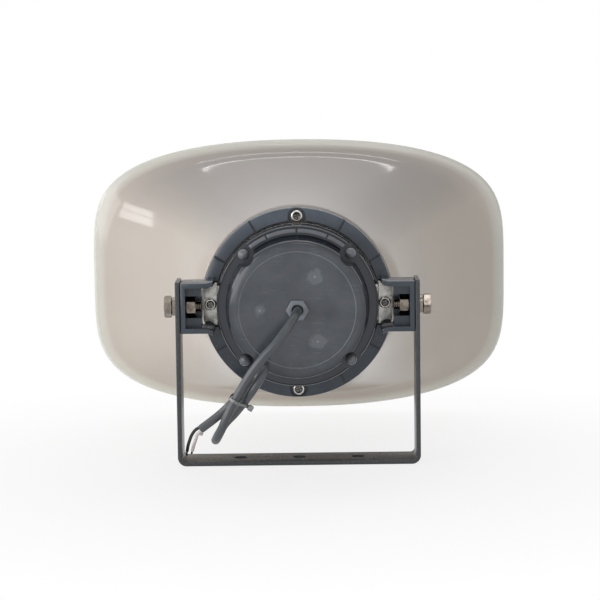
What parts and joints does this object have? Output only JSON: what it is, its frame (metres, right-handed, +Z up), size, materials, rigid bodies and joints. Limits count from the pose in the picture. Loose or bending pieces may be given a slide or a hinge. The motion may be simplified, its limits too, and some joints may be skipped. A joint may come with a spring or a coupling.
{
  "type": "horn loudspeaker",
  "caption": "Weatherproof rectangular re-entrant horn loudspeaker with a round driver cover, tilting on a U-bracket, with a short tied cable lead.",
  "frame": {"origin": "centre of the bracket base's underside", "axes": "+Z up from the base, +Y out of the horn's mouth, X along the tilt axis"},
  "size_m": [0.314, 0.2629, 0.21],
  "materials": {
    "bell_plastic": "gloss",
    "ring_paint": "satin paint",
    "cover_plastic": "gloss",
    "cast_metal": "bare casting",
    "bracket_paint": "satin paint, slight texture",
    "steel": "plain",
    "zinc": "plated",
    "ferrite": "matte",
    "rubber": "matte",
    "dark_plastic": "satin",
    "grey_sheath": "satin",
    "black_core": "satin",
    "white_core": "satin",
    "tie_nylon": "satin",
    "copper": "plain",
    "resin_film": "satin"
  },
  "bodies": {
    "bracket": {"bracket": "bracket_paint"},
    "horn": {"mounting_ring": "ring_paint", "bell": "bell_plastic", "driver_chassis": "cast_metal", "rear_cover": "cover_plastic", "cable_grommet": "dark_plastic", "bell_gasket": "rubber", "cover_gasket": "rubber", "pivot_bolt_left": "steel", "pivot_bolt_right": "steel", "spring_washer_left": "steel", "spring_washer_right": "steel", "pivot_nut_left": "steel", "pivot_nut_right": "steel", "flange_screw_top": "zinc", "flange_screw_bottom": "zinc", "flange_screw_left": "zinc", "flange_screw_right": "zinc", "throat_tube": "bell_plastic", "reflector": "bell_plastic", "phase_plug": "dark_plastic", "diaphragm": "resin_film", "diaphragm_clamp": "dark_plastic", "voice_coil": "copper", "top_plate": "zinc", "magnet": "ferrite", "yoke": "zinc", "terminal_strip": "resin_film", "inner_lead_left": "black_core", "inner_lead_right": "white_core", "coil_lead_left": "copper", "coil_lead_right": "copper", "cable": "grey_sheath", "cable_tie": "tie_nylon", "core_black": "black_core", "core_white": "white_core", "core_filler": "white_core", "tip_black": "zinc", "tip_white": "zinc", "cover_screw_1": "zinc", "plate_screw_1": "zinc", "cover_screw_2": "zinc", "plate_screw_2": "zinc", "cover_screw_3": "zinc", "plate_screw_3": "zinc", "cover_screw_4": "zinc", "plate_screw_4": "zinc", "throat_screw_1": "zinc", "throat_screw_2": "zinc", "throat_screw_3": "zinc"}
  },
  "joints": [
    {"name": "tilt", "type": "hinge", "parent": "bracket", "child": "horn", "pos_m": [0, 0, 0.107], "axis": [1, 0, 0], "range_deg": [-42, 222]}
  ]
}
